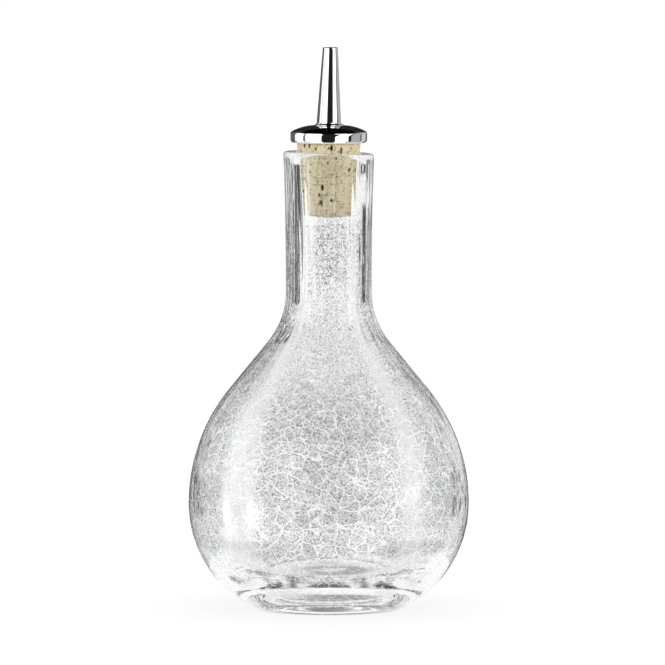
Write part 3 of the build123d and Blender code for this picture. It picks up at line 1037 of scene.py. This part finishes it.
# What the glass lets through: the neck's walls and the limbs see the gaps and, higher up, the thin lines, and
# the foot sees the rail and the awning behind the bottle. A ray that crosses the skin more than twice has gone
# through the hollow, and sees no gap, line or rail.
GAPS = stripes((-130, -48, 48, 130), half=21, edge=2, value=0.98)
GAP_HEIGHTS = (-14, -9, -1, 3)
LINES = stripes((-159.5, -144, 144, 159.5), half=2, edge=1, value=0.7)
LINE_HEIGHTS = (3, 5, 24, 30)
RAIL_HEIGHTS = (-30, -25, 9, 11)
RAIL_DARK = 0.85
RAIL_ENDS = (160, 167)
AWNING_RISE = (16, 21)
AWNING_DARK = 0.85
AWNING_ENDS = (145, 156)
ROOF = (22, 36)
ROOF_LIGHT = 0.06
TWO_CROSSINGS = 2.5

gaps = product(sky, strips(azimuth, GAPS), between(elevation, *GAP_HEIGHTS))
lines = product(sky, strips(azimuth, LINES), between(elevation, *LINE_HEIGHTS))
rail = product(sky, between(elevation, *RAIL_HEIGHTS), RAIL_DARK, spread(sky, from_back, *RAIL_ENDS))
dark = reckon(sky, "MAXIMUM", reckon(sky, "MAXIMUM", gaps, rail), lines)
crossed = add(sky, "LightPath", {}).outputs["Transmission Depth"]
dark = product(sky, dark, reckon(sky, "LESS_THAN", crossed, TWO_CROSSINGS))
awning = product(sky, spread(sky, elevation, *AWNING_RISE), spread(sky, from_back, *AWNING_ENDS))
through = product(sky, less(sky, dark), spread(sky, elevation, *ROOF, 1, ROOF_LIGHT))
through = product(sky, through, less(sky, awning, AWNING_DARK))
light = choose("Is Glossy Ray", lights, 1.0)
light = choose("Is Transmission Ray", through, light)
light = choose("Diffuse Depth", 1.0, light)
light = choose("Is Camera Ray", 1.0, light)
sky.links.new(light, sky.nodes["Background"].inputs["Color"])
bpy.context.scene.view_settings.view_transform = "Standard"

# The table mostly gives its own light, so that it is as white as the tent and still takes a soft shadow. Through
# the glass it has painted shade at the sides, and a painted shadow, a grey ring under the foot cut to a band
# across the middle.
TABLE_RADIUS = 64 * MM
TABLE_FADE = 0.6
TABLE_GREY = (0.15, 0.15, 0.15, 1)
TABLE_LIT = (0.85, 0.85, 0.85, 1)
SIDE_PAINTED_SHADE = (0.82, 0.82, 0.82, 1)
RING_PAINTED_SHADOW = (0.42, 0.42, 0.42, 1)
BLACK_PAINT = (0, 0, 0, 1)
WHITE_LIGHT = (1, 1, 1, 1)
RING_IN = (3 * MM, 9 * MM)
RING_OUT = (16 * MM, 19 * MM)
RING_MIDDLE = 4 * MM
RING_ENDS = (6 * MM, 16 * MM)

table_edge = TABLE_RADIUS * np.stack([np.cos(turn), np.sin(turn), np.zeros_like(turn)], 1)
fan = np.stack([column, after, np.full_like(column, ROUND_STEPS)], 1)
table = put_mesh("table_top", np.concatenate([table_edge, [[0, 0, 0]]]), fan.tolist())
paper, sockets, tree = material("white_paper", (0.2, 0.2, 0.2), 0.9)
place = object_place(tree)
seen_through = add(tree, "LightPath", {}).outputs["Is Transmission Ray"]
away = add(tree, "VectorMath", {0: place}, operation="LENGTH").outputs["Value"]
faded = spread(tree, away, TABLE_FADE * TABLE_RADIUS, TABLE_RADIUS)
faded = reckon(tree, "MAXIMUM", faded, seen_through)
tree.links.new(blend_colour(tree, faded, TABLE_GREY, BLACK_PAINT), sockets["Base Color"])
# Painted shade at the sides for rays through the glass, and a painted shadow ring under the foot.
aside = reckon(tree, "ABSOLUTE", reckon(tree, "SUBTRACT", parts_of(tree, place)["X"], RING_MIDDLE))
aside = spread(tree, aside, *RING_ENDS)
off_ring = reckon(tree, "MAXIMUM", spread(tree, away, *RING_OUT), spread(tree, away, *RING_IN, 1.0, 0.0))
off_ring = reckon(tree, "MAXIMUM", off_ring, aside)
lit = blend_colour(tree, faded, TABLE_LIT, WHITE_LIGHT)
lit = blend_colour(tree, product(tree, aside, seen_through), lit, SIDE_PAINTED_SHADE)
lit = blend_colour(tree, off_ring, RING_PAINTED_SHADOW, lit)
tree.links.new(lit, sockets["Emission Color"])
sockets["Emission Strength"].default_value = 1.0
sockets["Specular IOR Level"].default_value = 0.0
table.data.materials.append(paper)

cycles = bpy.context.scene.cycles
cycles.max_bounces = 32
cycles.transmission_bounces = 32
cycles.glossy_bounces = 24
cycles.transparent_max_bounces = 64
